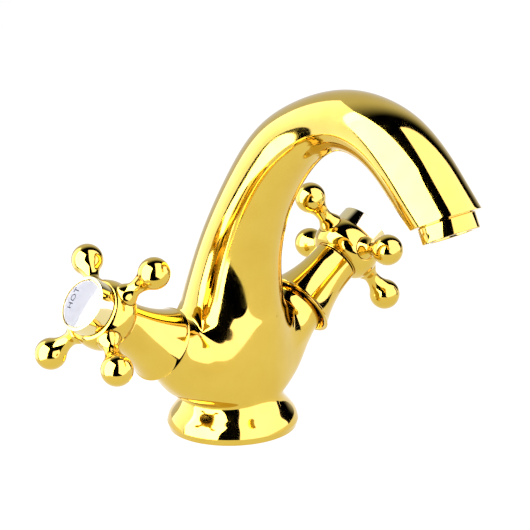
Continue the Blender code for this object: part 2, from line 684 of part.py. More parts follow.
def valve_cover(word, place):
    outer = cover_outline()
    grip = HEADWORK_NECK_RADIUS + GAP
    chamber = -COVER_TIP_DEPTH - COVER_THREAD_LENGTH
    lip = (COVER_RIM_RADIUS - COVER_WALL, -COVER_RIM_DEPTH)
    room = (HEADWORK_FLANGE_RADIUS + GAP, headwork_steps()[-1] - GAP)
    high = (COVER_TIP_RADIUS - COVER_WALL / 2, chamber)
    stem = CLIP_RADIUS + GAP
    ledge = -CLIP_DEPTH + CLIP_THICKNESS + 2 * GAP
    inner = [lip, room, high, (grip, chamber), (grip, ledge), (stem, ledge), (stem, -COVER_TIP_DEPTH)]
    turned(word + "_valve_cover", outer + inner, 24, gold, place)


# Handles


def hub(word, place, turn):
    """The cross handle's centre: an onion shape with a plug in front for the index cap."""
    steps = 5
    outline = [(SPINDLE_TOP_RADIUS + GAP, -HUB_BACK_DEPTH), (HUB_BACK_RADIUS, -HUB_BACK_DEPTH)]
    for i in range(1, steps + 1):
        angle = pi / 2 * i / steps
        radius = HUB_BACK_RADIUS + (HUB_RADIUS - HUB_BACK_RADIUS) * sin(angle)
        outline.append((radius, -HUB_BACK_DEPTH + (HUB_BACK_DEPTH - HUB_PLANE) * (1 - cos(angle))))
    shoulder = RING_BACK - GAP
    for i in range(1, steps):
        angle = pi / 2 * i / steps
        radius = RING_RADIUS + (HUB_RADIUS - RING_RADIUS) * cos(angle)
        outline.append((radius, -HUB_PLANE + (shoulder + HUB_PLANE) * sin(angle)))
    outline += [(RING_RADIUS, shoulder), (NOSE_PLUG_RADIUS, shoulder), (NOSE_PLUG_RADIUS, NOSE_PLUG_END)]
    well = SCREW_HEAD_RADIUS + GAP
    floor = SCREW_SEAT - GAP
    hole = SCREW_SHANK_RADIUS + GAP
    roof = -SPINDLE_TOP_DEPTH + GAP
    outline += [(well, NOSE_PLUG_END), (well, floor), (hole, floor), (hole, roof),
                (SPINDLE_TOP_RADIUS + GAP, roof)]
    centre = turned(word + "_hub", outline[::-1], 24, gold, place)
    seats = []
    for i in range(ARM_COUNT):
        side = arm_place(turn, i)
        seats.append(rod(ARM_STUD_RADIUS + GAP, ARM_SEAT - ARM_STUD_LENGTH - GAP, ARM_REACH, 12, side))
    cut(centre, merged(seats), "stud_holes")
    flats = []
    for i in range(ARM_COUNT):
        flats.append(rod(ARM_COLLAR_RADIUS + GAP, ARM_SEAT - GAP, ARM_REACH, 24, arm_place(turn, i)))
    cut(centre, merged(flats), "arm_seats")


def arm_place(turn, i):
    """A place in the handle's own axes whose Z runs out along one arm."""
    angle = turn + 2 * pi * i / ARM_COUNT
    return aim((0, 0, 0), (cos(angle), sin(angle), 0))


def arm_outline():
    """Stud, collar, waisted neck and ball of one arm, from the stud outwards."""
    stud = ARM_SEAT - ARM_STUD_LENGTH
    outline = [(0, stud), (ARM_STUD_RADIUS, stud), (ARM_STUD_RADIUS, ARM_SEAT)]
    neck = ARM_SEAT + (ARM_REACH - BALL_RADIUS - ARM_SEAT) * ARM_NECK_SHARE
    for share in (0.0, 0.35, 0.7):
        radius = ARM_NECK_RADIUS + (ARM_COLLAR_RADIUS - ARM_NECK_RADIUS) * (1 + cos(pi * share)) / 2
        outline.append((radius, ARM_SEAT + (neck - ARM_SEAT) * share))
    outline.append((ARM_NECK_RADIUS, neck))
    steps = 7
    for i in range(steps):
        angle = BALL_START + (pi - BALL_START) * i / steps
        outline.append((BALL_RADIUS * sin(angle), ARM_REACH - BALL_RADIUS * cos(angle)))
    outline.append((0, ARM_REACH + BALL_RADIUS))
    return outline


def arms(word, place, turn):
    for i in range(ARM_COUNT):
        arm = turned(word + "_arm_" + str(i + 1), arm_outline(), 14, gold, place)
        arm.matrix_local = arm_place(turn, i)


def handle_screw(word, place):
    top = SCREW_SEAT + SCREW_HEAD
    low = SCREW_SEAT - SCREW_LENGTH
    outline = [(0, low), (SCREW_SHANK_RADIUS, low), (SCREW_SHANK_RADIUS, SCREW_SEAT),
               (SCREW_HEAD_RADIUS, SCREW_SEAT), (SCREW_HEAD_RADIUS, top), (0, top)]
    screw = turned(word + "_handle_screw", outline, 16, steel, place)
    cut(screw, rod(SCREW_HEXAGON_RADIUS, top - SCREW_HEAD / 2, top + DRILL_OVERRUN, 6), "hexagon")


def index_cap(word, place):
    """The ring that plugs onto the hub's nose, and the porcelain disc in its front."""
    edge = RING_EDGE
    grip = NOSE_PLUG_RADIUS + GAP
    shelf_low = NOSE_PLUG_END + GAP
    shelf = shelf_low + RING_SHELF
    hole = RING_BORE - RING_SHELF_WIDTH
    outline = [
        (RING_RADIUS, RING_BACK), (RING_RADIUS, RING_FRONT - edge), (RING_RADIUS - edge, RING_FRONT),
        (RING_BORE + edge / 2, RING_FRONT), (RING_BORE, RING_FRONT - edge), (RING_BORE, shelf),
        (hole, shelf), (hole, shelf_low), (grip, shelf_low), (grip, RING_BACK)]
    turned(word + "_index_ring", outline, 32, gold, place)
    low = shelf + GAP
    radius = RING_BORE - GAP
    button = [(0, low), (radius, low)]
    for share in (1.0, 0.75, 0.4, 0.0):
        button.append((radius * share, low + INDEX_THICKNESS - INDEX_CROWN * share ** 2))
    turned(word + "_index_disc", button, 32, porcelain, place)


def valve(word, side, turn):
    """One valve with its handle, all drawn on an empty that stands on the handle's centre."""
    place = bpy.data.objects.new(word + "_valve_axis", None)
    bpy.context.collection.objects.link(place)
    place.matrix_world = valve_place(side)
    fixed, moving = headwork_levels()[1:3]
    headwork(word, place)
    disc(word + "_fixed_disc", fixed, place, 0)
    disc(word + "_moving_disc", moving, place, pi / 2)
    spindle(word, place)
    valve_cover(word, place)
    hub(word, place, turn)
    arms(word, place, turn)
    handle_screw(word, place)
    index_cap(word, place)


if __name__ == "__main__":
    clear_scene()
    casting()
    gasket()
    aerator()
    valve("hot", -1, HOT_TURN)
    valve("cold", 1, COLD_TURN)
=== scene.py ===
"""Looks of a two-handle basin mixer in polished gold plate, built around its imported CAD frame.

Everything is in metres in the frame's own axes: +Z up, the spout along -Y, the hot valve on the -X side.
Turned pieces are drawn upright at the origin and then set on their valve's axis or on the spout's mouth.
"""

import json
from math import acos, atan2, cos, pi, radians, sin, sqrt

import bpy
import numpy as np
from bpy.props import FloatProperty, FloatVectorProperty, PointerProperty
from bpy.types import Operator, Panel, PropertyGroup
from mathutils import Matrix, Vector


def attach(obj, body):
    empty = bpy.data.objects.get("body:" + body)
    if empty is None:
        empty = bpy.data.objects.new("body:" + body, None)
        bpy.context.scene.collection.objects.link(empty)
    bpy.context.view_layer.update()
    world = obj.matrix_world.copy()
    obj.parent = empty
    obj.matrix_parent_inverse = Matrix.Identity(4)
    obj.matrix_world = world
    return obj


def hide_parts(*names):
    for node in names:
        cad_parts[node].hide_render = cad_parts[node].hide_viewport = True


bl_info = {
    "name": "Basin Mixer",
    "version": (1, 0, 0),
    "blender": (4, 5, 0),
    "location": "3D View > Sidebar > Mixer",
    "description": "Models a gold-plated two-handle basin mixer around its CAD frame",
    "category": "Object",
}

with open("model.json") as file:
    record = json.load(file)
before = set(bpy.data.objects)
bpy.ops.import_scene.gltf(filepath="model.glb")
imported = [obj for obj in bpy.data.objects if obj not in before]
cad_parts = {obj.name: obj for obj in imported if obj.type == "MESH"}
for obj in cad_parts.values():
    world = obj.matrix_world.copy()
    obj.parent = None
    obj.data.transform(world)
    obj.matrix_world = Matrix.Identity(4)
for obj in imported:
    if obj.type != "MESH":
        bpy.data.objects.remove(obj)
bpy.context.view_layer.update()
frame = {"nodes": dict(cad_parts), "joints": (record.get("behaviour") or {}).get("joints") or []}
JOINTS = {joint["child"]: joint for joint in frame["joints"]}

MM = 0.001
GAP = 0.3 * MM  # air between pieces that seat on each other
WELD = 1e-6
SIDES = {"hot": -1, "cold": 1}
BODY = "faucet_body"

COLUMNS = 12  # control points round the casting
ROUND = (2 + cos(2 * pi / COLUMNS)) / 3  # a smooth ring's radius as a share of its control points' radius
TRUNK_ROW = 5  # rows of the casting: two of the foot's band, two of its slope, the waist, then the trunk
ARM_ROWS = 3  # rows of faces that each arm of the casting grows from
TURNS = 96  # steps round a turned piece
FINE_TURNS = 128  # steps round the rings and discs, whose edges catch the light
CAMERA_BEARING = -130  # degrees from +X
MIDDLE = Vector((0, -0.04, 0.08))  # point of the mixer that the soft boxes face
FOOT_FRONT = Vector((0, -0.01, 0))  # point of the foot that the black card faces
LAMP_DISTANCE = 0.75


def linear(code):
    """Linear red, green and blue of an sRGB hex colour."""
    parts = [int(code[i:i + 2], 16) / 255 for i in (0, 2, 4)]
    return tuple(part / 12.92 if part <= 0.04045 else ((part + 0.055) / 1.055) ** 2.4 for part in parts)


def length(label, about, millimetres):
    return FloatProperty(name=label, description=about, default=millimetres * MM, unit="LENGTH")


def tilt(label, about, angle):
    return FloatProperty(name=label, description=about, default=radians(angle), unit="ROTATION")


def colour(label, about, code):
    return FloatVectorProperty(name=label, description=about, default=linear(code), size=3, subtype="COLOR")


class CastingSizes(PropertyGroup):
    """Driving sizes of the cast body and its spout."""

    foot_radius: length("Foot radius", "Radius of the foot at the top of its band", 28.4)
    heel_radius: length("Heel radius", "Radius of the foot on the deck", 27.6)
    foot_band: length("Foot band", "Height of the upright band round the foot", 2.7)
    foot_height: length("Foot height", "Height of the waist above the deck", 15.1)
    waist_radius: length("Waist radius", "Radius where the foot meets the trunk", 22.3)
    trunk_flare: length("Trunk flare", "How far the trunk widens just above the waist", 5.4)
    trunk_half_width: length("Trunk half width", "Half the trunk's width where the arms grow out", 27.5)
    trunk_half_depth: length("Trunk half depth", "Half the trunk's depth from front to back", 23.2)
    saddle_half_width: length("Saddle half width", "Half the width above the arms", 22.5)
    shoulder_height: length("Shoulder height", "Where the spout begins", 60.0)
    shoulder_radius: length("Shoulder radius", "Radius where the spout begins", 21.2)
    neck_offset: length("Neck offset", "How far the shoulders stand forward of the foot's centre", 2.4)
    neck_lean: tilt("Neck lean", "Forward lean at the shoulders", 9.5)
    neck_bend: length("Neck bend", "Radius of the neck's gentle arc", 135.0)
    neck_taper: FloatProperty(name="Neck taper", description="Power that the neck thins by", default=1.8)
    arch_lean: tilt("Arch lean", "Lean where the arch begins", 38.0)
    arch_bend: length("Arch bend", "Radius of the rising arc", 74.5)
    arch_radius: length("Arch radius", "Spout's radius where the arch begins", 14.7)
    crown_lean: tilt("Crown lean", "Lean where the crown begins", 71.6)
    crown_bend: length("Crown bend", "Radius of the crown's arc", 49.0)
    crown_radius: length("Crown radius", "Spout's radius at the crown, where it is thinnest", 12.3)
    nose_lean: tilt("Nose lean", "Lean where the straight nose begins", 134.0)
    nose_length: length("Nose length", "Length of the straight nose", 23.0)
    nose_radius: length("Nose radius", "Radius of the nose", 14.6)
    mouth_radius: length("Mouth radius", "Radius of the mouth's face", 14.5)
    mouth_lean: tilt("Mouth lean", "Lean of the mouth's face, which fixes the way the water leaves", 154.0)
    arm_root_radius: length("Arm root radius", "Radius of the casting's arm where it leaves the trunk", 14.0)
    arm_end_radius: length("Arm end radius", "Radius of the casting's arm inside the cover", 12.7)
    arm_end_depth: length("Arm end depth", "Depth of the arm's end behind the handle's plane", 36.0)
    arm_length: length("Arm length", "From the arm's root ring to its end", 9.2)
    arm_collar: length("Arm collar", "Straight stretch at the arm's end", 4.5)
    edge: length("Edge", "Rounding of the casting's polished corners", 0.35)


class TrimSizes(PropertyGroup):
    """Driving sizes of the turned trim that the frame's nodes don't give."""

    cover_wall: length("Cover wall", "Wall of the valve cover at its mouth", 1.6)
    cover_flare: FloatProperty(name="Cover flare", description="Power that the cover flares by", default=2.2)
    cover_rim: length("Cover rim", "Height of the straight band at the cover's mouth", 1.0)
    hub_plane: length("Hub plane", "Depth of the hub's widest section behind the arms' plane", 1.8)
    hub_back_radius: length("Hub back radius", "Radius of the hub's back face", 9.9)
    collar_radius: length("Collar radius", "Radius of an arm's collar on the hub", 5.2)
    neck_radius: length("Neck radius", "Radius of an arm's neck, where it is thinnest", 3.1)
    neck_share: FloatProperty(name="Neck place", description="Share of the way from hub to ball", default=0.6)
    bezel: length("Bezel", "Width of the index ring's front face", 1.4)
    crown: length("Crown", "Height of the index disc's dome", 0.7)
    letter: length("Letter size", "Font size of the word on the index disc", 4.1)
    letter_out: length("Letter place", "How far from the disc's centre the word stands", 5.7)
    flats: length("Wrench flats", "Width across the aerator's two wrench flats", 22.3)


class Finishes(PropertyGroup):
    """Colours of the mixer's finishes."""

    gold: colour("Gold plate", "Gold of the casting and the handles", "D7B84F")
    deep_gold: colour("Deep gold plate", "Where the plate is a touch redder", "D4B349")
    pale_gold: colour("Pale gold plate", "Lighter gold of the index ring and the aerator", "E3D294")
    brass: colour("Brass", "Turned brass of the valves", "C9A45C")
    steel: colour("Steel", "Stainless steel of screws and clips", "B9BBBD")
    rubber: colour("Rubber", "Seals and the base gasket", "1B1B1C")
    alumina: colour("Alumina", "Ceramic discs of the valves", "E9E4D8")
    porcelain: colour("Porcelain", "Glazed index discs", "FDFDFF")
    ink: colour("Ink", "Fired lettering on the index discs", "26262A")
    acetal: colour("Acetal", "Strainer in the aerator", "D4D4CF")
    table: colour("Table", "Matt face of the lit table", "343433")


# Materials


def add(tree, kind, settings=(), links=()):
    """Add a node, set its properties or input values, and link its inputs to other nodes' outputs."""
    made = tree.nodes.new(kind)
    for key, value in dict(settings).items():
        if isinstance(key, str) and hasattr(made, key):
            setattr(made, key, value)
        else:
            made.inputs[key].default_value = value
    for key, (source, socket) in dict(links).items():
        tree.links.new(source.outputs[socket], made.inputs[key])
    return made


def surface(name, settings, pattern=None):
    """A material of that name. The pattern, if there is one, returns what it links to the shader's inputs."""
    made = bpy.data.materials.get(name)
    if made:
        return made
    made = bpy.data.materials.new(name)
    made.use_nodes = True
    tree = made.node_tree
    tree.nodes.clear()
    links = pattern(tree) if pattern else {}
    shader = add(tree, "ShaderNodeBsdfPrincipled", settings, links)
    add(tree, "ShaderNodeOutputMaterial", links={"Surface": (shader, "BSDF")})
    return made


def noise(tree, wavelength, detail=2.0, stretch=(1, 1, 1)):
    """Noise whose blotches are about a wavelength across, on the piece's own coordinates."""
    place = add(tree, "ShaderNodeTexCoord")
    mapping = add(tree, "ShaderNodeMapping", {"Scale": stretch}, {"Vector": (place, "Object")})
    return add(tree, "ShaderNodeTexNoise", {"Scale": 1 / wavelength, "Detail": detail},
               {"Vector": (mapping, "Vector")})


def between(tree, source, low, high, start=0.3, end=0.7):
    """Spread a noise over the range from low to high."""
    settings = {"From Min": start, "From Max": end, "To Min": low, "To Max": high}
    return add(tree, "ShaderNodeMapRange", settings, {"Value": (source, "Fac")})


def blend_colours(tree, source, first, second):
    """Mix two colours by a noise."""
    ramp = add(tree, "ShaderNodeValToRGB", links={"Fac": (source, "Fac")})
    ramp.color_ramp.elements[0].position = 0.35
    ramp.color_ramp.elements[0].color = (*first, 1)
    ramp.color_ramp.elements[1].position = 0.65
    ramp.color_ramp.elements[1].color = (*second, 1)
    return ramp


def plated(name, first, second, haze):
    """Buffed plate: slow swells from hand buffing, a breath of haze, and hairlines, drawn coarser to show."""

    def pattern(tree):
        tone = blend_colours(tree, noise(tree, 14 * MM), first, second)
        dull = between(tree, noise(tree, 5 * MM, 4.0), haze * 0.6, haze * 1.5)
        swell = add(tree, "ShaderNodeBump", {"Strength": 0.35, "Distance": 0.012 * MM},
                    {"Height": (noise(tree, 7 * MM, 1.0), "Fac")})
        scratches = noise(tree, 0.3 * MM, 2.0, (1, 1, 6))
        hairlines = add(tree, "ShaderNodeBump", {"Strength": 0.05, "Distance": 0.002 * MM},
                        {"Height": (scratches, "Fac"), "Normal": (swell, "Normal")})
        return {"Base Color": (tone, "Color"), "Roughness": (dull, "Result"), "Normal": (hairlines, "Normal")}

    return surface(name, {"Metallic": 1.0}, pattern)


def buffed_gold_plate():
    """Gold-plated cast brass, buffed to a mirror: deep yellow, with near-black where it mirrors the dark."""
    colours = bpy.context.scene.mixer_finishes
    return plated("buffed_gold_plate", colours.gold, colours.deep_gold, 0.065)


def buffed_pale_gold():
    """Flash-gold plate on turned trim: the same mirror, but a paler, more silvery yellow."""
    colours = bpy.context.scene.mixer_finishes
    return plated("buffed_pale_gold", colours.pale_gold, colours.pale_gold, 0.07)


def satin_turned_brass():
    """Free-cutting brass from the lathe: satin, with tool marks in level bands, drawn coarser to show."""
    colours = bpy.context.scene.mixer_finishes

    def pattern(tree):
        shade = tuple(0.8 * c for c in colours.brass)
        tone = blend_colours(tree, noise(tree, 4 * MM), colours.brass, shade)
        rings = add(tree, "ShaderNodeBump", {"Strength": 0.3, "Distance": 0.01 * MM},
                    {"Height": (noise(tree, 0.4 * MM, 1.0, (0.1, 0.1, 1)), "Fac")})
        return {"Base Color": (tone, "Color"), "Normal": (rings, "Normal")}

    return surface("satin_turned_brass", {"Metallic": 1.0, "Roughness": 0.28}, pattern)


def headed_stainless_steel():
    """Cold-headed stainless steel: grey, bright and slightly streaky."""
    colours = bpy.context.scene.mixer_finishes

    def pattern(tree):
        dull = between(tree, noise(tree, 0.8 * MM, 3.0, (1, 1, 0.2)), 0.2, 0.38)
        return {"Roughness": (dull, "Result")}

    return surface("headed_stainless_steel", {"Metallic": 1.0, "Base Color": (*colours.steel, 1)}, pattern)


def moulded_rubber():
    """Compression-moulded nitrile rubber: near black and dull, with a faint grain."""
    colours = bpy.context.scene.mixer_finishes

    def pattern(tree):
        grain = add(tree, "ShaderNodeBump", {"Strength": 0.4, "Distance": 0.02 * MM},
                    {"Height": (noise(tree, 0.35 * MM, 3.0), "Fac")})
        dull = between(tree, noise(tree, 2 * MM), 0.6, 0.8)
        return {"Normal": (grain, "Normal"), "Roughness": (dull, "Result")}

    return surface("moulded_rubber", {"Base Color": (*colours.rubber, 1)}, pattern)


def lapped_alumina():
    """Sintered and lapped alumina: off-white, dense and faintly glossy."""
    colours = bpy.context.scene.mixer_finishes

    def pattern(tree):
        shade = tuple(0.94 * c for c in colours.alumina)
        tone = blend_colours(tree, noise(tree, 1.2 * MM), colours.alumina, shade)
        return {"Base Color": (tone, "Color")}

    return surface("lapped_alumina", {"Roughness": 0.28, "IOR": 1.76}, pattern)


def glazed_porcelain():
    """Fired white porcelain under clear glaze: cool white body, wet gloss, a slight ripple in the glaze."""
    colours = bpy.context.scene.mixer_finishes

    def pattern(tree):
        shade = tuple(0.97 * c for c in colours.porcelain)
        tone = blend_colours(tree, noise(tree, 6 * MM), colours.porcelain, shade)
        ripple = add(tree, "ShaderNodeBump", {"Strength": 0.2, "Distance": 0.01 * MM},
                     {"Height": (noise(tree, 3 * MM, 1.0), "Fac")})
        return {"Base Color": (tone, "Color"), "Normal": (ripple, "Normal")}

    settings = {"Roughness": 0.2, "Specular IOR Level": 0.3, "Coat Weight": 0.4, "Coat Roughness": 0.04}
    return surface("glazed_porcelain", settings, pattern)


def fired_ink():
    """Black ceramic transfer fired into the glaze: dark grey with a soft edge to its gloss."""
    colours = bpy.context.scene.mixer_finishes

    def pattern(tree):
        return {"Roughness": (between(tree, noise(tree, 0.5 * MM), 0.25, 0.4), "Result")}

    return surface("fired_ink", {"Base Color": (*colours.ink, 1), "Specular IOR Level": 0.1}, pattern)


def moulded_acetal():
    """Injection-moulded acetal: pale grey, waxy and slightly see-through to light."""
    colours = bpy.context.scene.mixer_finishes

    def pattern(tree):
        return {"Roughness": (between(tree, noise(tree, 1.5 * MM), 0.35, 0.5), "Result")}

    settings = {"Base Color": (*colours.acetal, 1), "Subsurface Weight": 0.1, "Subsurface Scale": 1 * MM}
    return surface("moulded_acetal", settings, pattern)


def opal_acrylic():
    """Opal acrylic table lit from below: an even white glow under matt, faintly mottled sheet."""
    colours = bpy.context.scene.mixer_finishes

    def pattern(tree):
        return {"Emission Strength": (between(tree, noise(tree, 60 * MM), 1.0, 1.02), "Result")}

    settings = {"Base Color": (*colours.table, 1), "Roughness": 0.9, "Emission Color": (1, 1, 1, 1)}
    return surface("opal_acrylic", settings, pattern)


def black_felt():
    """Black felt on the studio's flags: takes nearly all light, with a hint of nap."""

    def pattern(tree):
        nap = between(tree, noise(tree, 1 * MM), 0.9, 1.0)
        return {"Roughness": (nap, "Result")}

    return surface("black_felt", {"Base Color": (0.002, 0.002, 0.002, 1), "Specular IOR Level": 0.0}, pattern)


# Modelling


def pick(piece):
    """Select one piece alone and make it the active one."""
    bpy.ops.object.select_all(action="DESELECT")
    piece.select_set(True)
    bpy.context.view_layer.objects.active = piece


def edit(piece):
    """Enter edit mode on one piece with everything in it selected."""
    pick(piece)
    bpy.ops.object.mode_set(mode="EDIT")
    bpy.ops.mesh.select_all(action="SELECT")


def done():
    bpy.ops.object.mode_set(mode="OBJECT")


def close_up():
    """Merge what meets and turn the faces outwards, in edit mode."""
    bpy.ops.mesh.select_all(action="SELECT")
    bpy.ops.mesh.remove_doubles(threshold=WELD)
    bpy.ops.mesh.normals_make_consistent(inside=False)


def choose(piece, mode, test):
    """Select the faces or edges of a piece whose corners pass a test, in edit mode."""
    bpy.ops.mesh.select_all(action="DESELECT")
    bpy.ops.mesh.select_mode(type=mode)
    done()
    mesh = piece.data
    for element in (mesh.polygons if mode == "FACE" else mesh.edges):
        element.select = test([mesh.vertices[i].co for i in element.vertices])
    bpy.ops.object.mode_set(mode="EDIT")


def apply_modifier(piece, kind, **settings):
    """Add a modifier, set it and apply it."""
    pick(piece)
    bpy.ops.object.modifier_add(type=kind)
    modifier = piece.modifiers[-1]
    for key, value in settings.items():
        setattr(modifier, key, value)
    bpy.ops.object.modifier_apply(modifier=modifier.name)


def cut(piece, cutters):
    """Take closed shapes away from a piece, and remove them."""
    for cutter in cutters:
        apply_modifier(piece, "BOOLEAN", operation="DIFFERENCE", solver="MANIFOLD", object=cutter)
        bpy.data.objects.remove(cutter)


def drill(radius, low, high, place=Matrix(), sides=48):
    """A round cutter from low to high on a place's own Z."""
    bpy.ops.object.select_all(action="DESELECT")
    bpy.ops.mesh.primitive_cylinder_add(vertices=sides, radius=radius, depth=high - low)
    cutter = bpy.context.object
    cutter.data.transform(place @ Matrix.Translation((0, 0, (low + high) / 2)))
    return cutter


def arc(radius, height, size, start, end, steps=6):
    """Points on an arc in the (radius, height) plane, from one angle to another in degrees."""
    points = []
    for i in range(steps + 1):
        angle = radians(start + (end - start) * i / steps)
        points.append((radius + size * cos(angle), height + size * sin(angle)))
    return points


def turn(name, outline, steps=TURNS):
    """Turn an outline of (radius, height) points about Z: a solid if it starts on the axis, else a ring."""
    if outline[0][0] > 0:
        outline = [*outline, outline[0]]
    bpy.ops.object.select_all(action="DESELECT")
    bpy.ops.mesh.primitive_plane_add(size=1 * MM)
    piece = bpy.context.object
    piece.name = name
    edit(piece)
    bpy.ops.mesh.merge(type="CENTER")
    bpy.ops.transform.translate(value=(outline[0][0], 0, outline[0][1]))
    for (radius, height), (after, rise) in zip(outline, outline[1:]):
        step = (after - radius, 0, rise - height)
        bpy.ops.mesh.extrude_vertices_move(TRANSFORM_OT_translate={"value": step})
    bpy.ops.mesh.select_all(action="SELECT")
    bpy.ops.mesh.remove_doubles(threshold=WELD)
    bpy.ops.mesh.select_all(action="SELECT")
    bpy.ops.mesh.spin(steps=steps, angle=2 * pi, center=(0, 0, 0), axis=(0, 0, 1))
    close_up()
    done()
    return piece


def copy_piece(piece, name):
    """A copy with its own mesh."""
    pick(piece)
    bpy.ops.object.duplicate(linked=False)
    made = bpy.context.object
    made.name = name
    return made


def set_down(piece, place):
    """Move a piece to its place and leave its object unturned at the origin."""
    piece.matrix_world = place @ piece.matrix_world
    pick(piece)
    bpy.ops.object.transform_apply(location=True, rotation=True, scale=True)


def finish(piece, material, body, slot, *nodes):
    """Shade and paint a piece, hang it on the empty of the body it rides on, and hide the CAD nodes it stands
    for.
    """
    pick(piece)
    bpy.ops.object.shade_smooth_by_angle(angle=radians(35))
    piece.data.materials.clear()
    piece.data.materials.append(material)
    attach(piece, body)
    if nodes:
        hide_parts(*nodes)


# Places, read from the frame


def valve_place(word):
    """Stands on the centre of a handle: Z outwards along the valve, X forwards."""
    joint = JOINTS[word + "_handle"]
    axis = Vector(joint["axis"])
    front = Vector((0, -1, 0))
    turned = Matrix((front, axis.cross(front), axis)).transposed().to_4x4()
    return Matrix.Translation(joint["pos_m"]) @ turned


def in_axes(node, place):
    """A CAD node's corners in the axes of a place."""
    points = np.array([corner.co for corner in frame["nodes"][node].data.vertices])
    back = np.array(place.inverted())
    return points @ back[:3, :3].T + back[:3, 3]


def span(node, place):
    """Lowest and highest point of a CAD node on a place's Z, and its largest radius about it."""
    points = in_axes(node, place)
    return points[:, 2].min(), points[:, 2].max(), np.hypot(points[:, 0], points[:, 1]).max()


def aim(point, direction):
    """A place whose own Z runs along the direction from the point."""
    return Matrix.Translation(point) @ Vector(direction).to_track_quat("Z", "Y").to_matrix().to_4x4()


# Casting


def ease(share):
    """Goes from 0 to 1 and is level at both ends."""
    return (1 - cos(pi * share)) / 2


def spout_stations(size):
    """Centre, lean and radius along the spout, from the shoulders over the arch to the nose."""

    def thin(share):
        return 1 - (1 - share) ** size.neck_taper

    y, z, lean, radius = -size.neck_offset, size.shoulder_height, size.neck_lean, size.shoulder_radius
    stations = [(y, z, lean, radius)]
    arcs = [(size.neck_bend, size.arch_lean, size.arch_radius, 4, thin),
            (size.arch_bend, size.crown_lean, size.crown_radius, 3, ease),
            (size.crown_bend, size.nose_lean, size.nose_radius, 4, ease)]
    for bend, end_lean, end_radius, steps, change in arcs:
        step = (end_lean - lean) / steps
        first_radius = radius
        for i in range(steps):
            y += bend * (cos(lean + step) - cos(lean))
            z += bend * (sin(lean + step) - sin(lean))
            lean += step
            radius = first_radius + (end_radius - first_radius) * change((i + 1) / steps)
            stations.append((y, z, lean, radius))
    return stations


def mouth_place(size):
    """Stands on the centre of the mouth's face, with Z the way the water leaves."""
    y, z, lean, _ = spout_stations(size)[-1]
    centre = Vector((0, y - size.nose_length * sin(lean), z + size.nose_length * cos(lean)))
    return aim(centre, (0, -sin(size.mouth_lean), cos(size.mouth_lean)))


def casting_rows(size):
    """Sections that the casting's skin passes through: y, z, lean, half width and half depth."""
    trunk = size.shoulder_height - size.foot_height
    rows = [(0, 0, 0, size.heel_radius, size.heel_radius),
            (0, size.foot_band, 0, size.foot_radius, size.foot_radius)]
    for share in (0.3, 0.62, 1.0):
        height = size.foot_band + (size.foot_height - size.foot_band) * share
        radius = size.waist_radius + (size.foot_radius - size.waist_radius) * (1 + cos(pi * share)) / 2
        rows.append((0, height, 0, radius, radius))
    for share, wide, deep in (
            (0.11, size.waist_radius + size.trunk_flare, size.waist_radius),
            (0.38, size.trunk_half_width, size.trunk_half_depth),
            (0.63, (size.trunk_half_width + size.saddle_half_width) / 2, size.trunk_half_depth),
            (0.86, size.saddle_half_width, (size.trunk_half_depth + size.shoulder_radius) / 2)):
        rows.append((-size.neck_offset * share ** 2, size.foot_height + trunk * share, size.neck_lean * share,
                     wide, deep))
    rows += [(y, z, lean, radius, radius) for y, z, lean, radius in spout_stations(size)]
    mouth = mouth_place(size).translation
    nose = rows[-1]
    rows.append(((nose[0] + mouth.y) / 2, (nose[1] + mouth.z) / 2, (size.nose_lean + size.mouth_lean) / 2,
                 size.nose_radius, size.nose_radius))
    rows.append((mouth.y, mouth.z, size.mouth_lean, size.mouth_radius, size.mouth_radius))
    return rows


def control_rings(size):
    """Centre, lean, half width and half depth of the control rings of a smooth skin through the sections."""
    rows = casting_rows(size)
    wanted = np.array([(y, z, wide, deep * cos(lean), deep * sin(lean)) for y, z, lean, wide, deep in rows])
    weights = np.eye(len(rows))
    for i in range(2, len(rows) - 1):
        weights[i, i - 1:i + 2] = (1 / 6, 4 / 6, 1 / 6)
    rings = []
    for y, z, wide, forward, rise in np.linalg.solve(weights, wanted):
        deep = sqrt(forward ** 2 + rise ** 2)
        rings.append((Vector((0, y, z)), atan2(rise, forward), wide / ROUND, deep / ROUND))
    return rings


def cage_column(rings):
    """The casting's control cage without its arms: one disc, extruded from section to section."""
    bpy.ops.object.select_all(action="DESELECT")
    bpy.ops.mesh.primitive_circle_add(vertices=COLUMNS, radius=1, fill_type="NGON",
                                      rotation=(0, 0, pi / COLUMNS))
    bpy.ops.object.transform_apply(location=True, rotation=True, scale=True)
    piece = bpy.context.object
    edit(piece)
    centre, lean, wide, deep = rings[0]
    bpy.ops.transform.resize(value=(wide, deep, 1), center_override=(0, 0, 0))
    for after, after_lean, after_wide, after_deep in rings[1:]:
        bpy.ops.mesh.extrude_region_move(TRANSFORM_OT_translate={"value": after - centre})
        stretch = after_deep / deep
        bpy.ops.transform.resize(value=(after_wide / wide, stretch, stretch), center_override=after)
        bpy.ops.transform.rotate(value=lean - after_lean, orient_axis="X", center_override=after)
        centre, lean, wide, deep = after, after_lean, after_wide, after_deep
    done()
    return piece


def open_border():
    """Select the open edges of the cage and any loose ring, in edit mode."""
    bpy.ops.mesh.select_mode(type="EDGE")
    bpy.ops.mesh.select_all(action="DESELECT")
    bpy.ops.mesh.select_non_manifold(extend=False, use_wire=True, use_boundary=True, use_multi_face=False,
                                     use_non_contiguous=False, use_verts=False)


